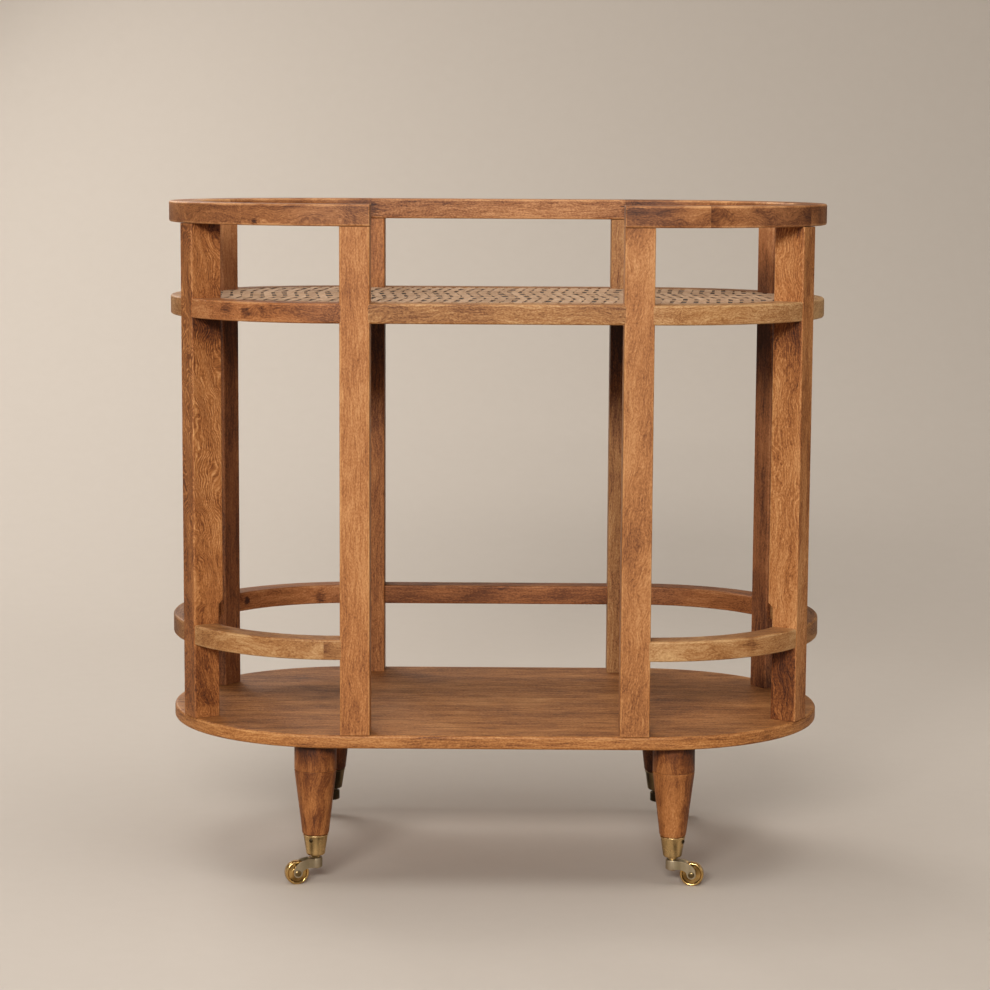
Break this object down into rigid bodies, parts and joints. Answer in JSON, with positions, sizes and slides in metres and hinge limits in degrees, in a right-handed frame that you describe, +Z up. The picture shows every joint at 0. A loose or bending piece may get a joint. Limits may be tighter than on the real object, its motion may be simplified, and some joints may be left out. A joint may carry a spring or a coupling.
{
  "type": "serving trolley",
  "caption": "Oval wooden serving trolley with an open front, a woven cane shelf below the top rail, a guard rail above the bottom board, and tapered legs on brass cup castors.",
  "frame": {"origin": "on the floor, under the middle of the oval", "axes": "+X along the length to the right as seen from the open front, +Y from the open front to the back, +Z up"},
  "size_m": [0.78, 0.4194, 0.7863],
  "materials": {
    "post_wood": "satin lacquer over light orange-brown wood",
    "top_rail_wood": "satin lacquer over reddish brown wood",
    "shelf_wood": "satin lacquer",
    "guard_wood": "satin lacquer over golden brown wood",
    "board_wood": "satin lacquer over mid brown wood",
    "leg_wood": "satin lacquer over dark reddish wood",
    "cane": "woven natural cane",
    "cup_brass": "aged, satin",
    "fork_brass": "dull satin",
    "wheel_brass": "polished",
    "axle_brass": "satin",
    "screw_brass": "aged"
  },
  "bodies": {
    "frame": {"bottom_board": "board_wood", "post_front_left": "post_wood", "post_back_left": "post_wood", "post_front_right": "post_wood", "post_back_right": "post_wood", "post_left_front": "post_wood", "post_left_back": "post_wood", "post_right_front": "post_wood", "post_right_back": "post_wood", "top_rail_left_front": "top_rail_wood", "top_rail_left_end": "top_rail_wood", "top_rail_left_back": "top_rail_wood", "top_rail_right_front": "top_rail_wood", "top_rail_right_end": "top_rail_wood", "top_rail_right_back": "top_rail_wood", "shelf_rail_left_front": "shelf_wood", "shelf_rail_left_end": "shelf_wood", "shelf_rail_left_back": "shelf_wood", "shelf_rail_right_front": "shelf_wood", "shelf_rail_right_end": "shelf_wood", "shelf_rail_right_back": "shelf_wood", "guard_rail_left_front": "guard_wood", "guard_rail_left_end": "guard_wood", "guard_rail_left_back": "guard_wood", "guard_rail_right_front": "guard_wood", "guard_rail_right_end": "guard_wood", "guard_rail_right_back": "guard_wood", "top_rail_back": "top_rail_wood", "shelf_rail_front": "shelf_wood", "shelf_rail_back": "shelf_wood", "guard_rail_back": "guard_wood", "cane_panel": "cane", "leg_block_front_left": "leg_wood", "leg_block_front_right": "leg_wood", "leg_block_back_left": "leg_wood", "leg_block_back_right": "leg_wood", "leg_front_left": "leg_wood", "leg_front_right": "leg_wood", "leg_back_left": "leg_wood", "leg_back_right": "leg_wood", "castor_cup_front_left": "cup_brass", "castor_cup_front_right": "cup_brass", "castor_cup_back_left": "cup_brass", "castor_cup_back_right": "cup_brass", "cup_screw_front_left": "screw_brass", "cup_screw_front_right": "screw_brass", "cup_screw_back_left": "screw_brass", "cup_screw_back_right": "screw_brass"},
    "swivel_front_left": {"castor_fork_front_left": "fork_brass", "castor_axle_front_left": "axle_brass"},
    "wheel_front_left": {"castor_wheel_front_left": "wheel_brass"},
    "swivel_front_right": {"castor_fork_front_right": "fork_brass", "castor_axle_front_right": "axle_brass"},
    "wheel_front_right": {"castor_wheel_front_right": "wheel_brass"},
    "swivel_back_left": {"castor_fork_back_left": "fork_brass", "castor_axle_back_left": "axle_brass"},
    "wheel_back_left": {"castor_wheel_back_left": "wheel_brass"},
    "swivel_back_right": {"castor_fork_back_right": "fork_brass", "castor_axle_back_right": "axle_brass"},
    "wheel_back_right": {"castor_wheel_back_right": "wheel_brass"}
  },
  "joints": [
    {"name": "castor_swivel_front_left", "type": "hinge", "parent": "frame", "child": "swivel_front_left", "pos_m": [-0.20755, -0.165, 0.0242], "axis": [0, 0, 1], "continuous": true},
    {"name": "wheel_roll_front_left", "type": "hinge", "parent": "swivel_front_left", "child": "wheel_front_left", "pos_m": [-0.22916, -0.17287, 0.01375], "axis": [0.342, -0.9397, 0], "continuous": true},
    {"name": "castor_swivel_front_right", "type": "hinge", "parent": "frame", "child": "swivel_front_right", "pos_m": [0.20755, -0.165, 0.0242], "axis": [0, 0, 1], "continuous": true},
    {"name": "wheel_roll_front_right", "type": "hinge", "parent": "swivel_front_right", "child": "wheel_front_right", "pos_m": [0.2302, -0.16899, 0.01375], "axis": [0.1736, 0.9848, 0], "continuous": true},
    {"name": "castor_swivel_back_left", "type": "hinge", "parent": "frame", "child": "swivel_back_left", "pos_m": [-0.20755, 0.165, 0.0242], "axis": [0, 0, 1], "continuous": true},
    {"name": "wheel_roll_back_left", "type": "hinge", "parent": "swivel_back_left", "child": "wheel_back_left", "pos_m": [-0.23055, 0.165, 0.01375], "axis": [0, -1, 0], "continuous": true},
    {"name": "castor_swivel_back_right", "type": "hinge", "parent": "frame", "child": "swivel_back_right", "pos_m": [0.20755, 0.165, 0.0242], "axis": [0, 0, 1], "continuous": true},
    {"name": "wheel_roll_back_right", "type": "hinge", "parent": "swivel_back_right", "child": "wheel_back_right", "pos_m": [0.23055, 0.165, 0.01375], "axis": [0, 1, 0], "continuous": true}
  ]
}
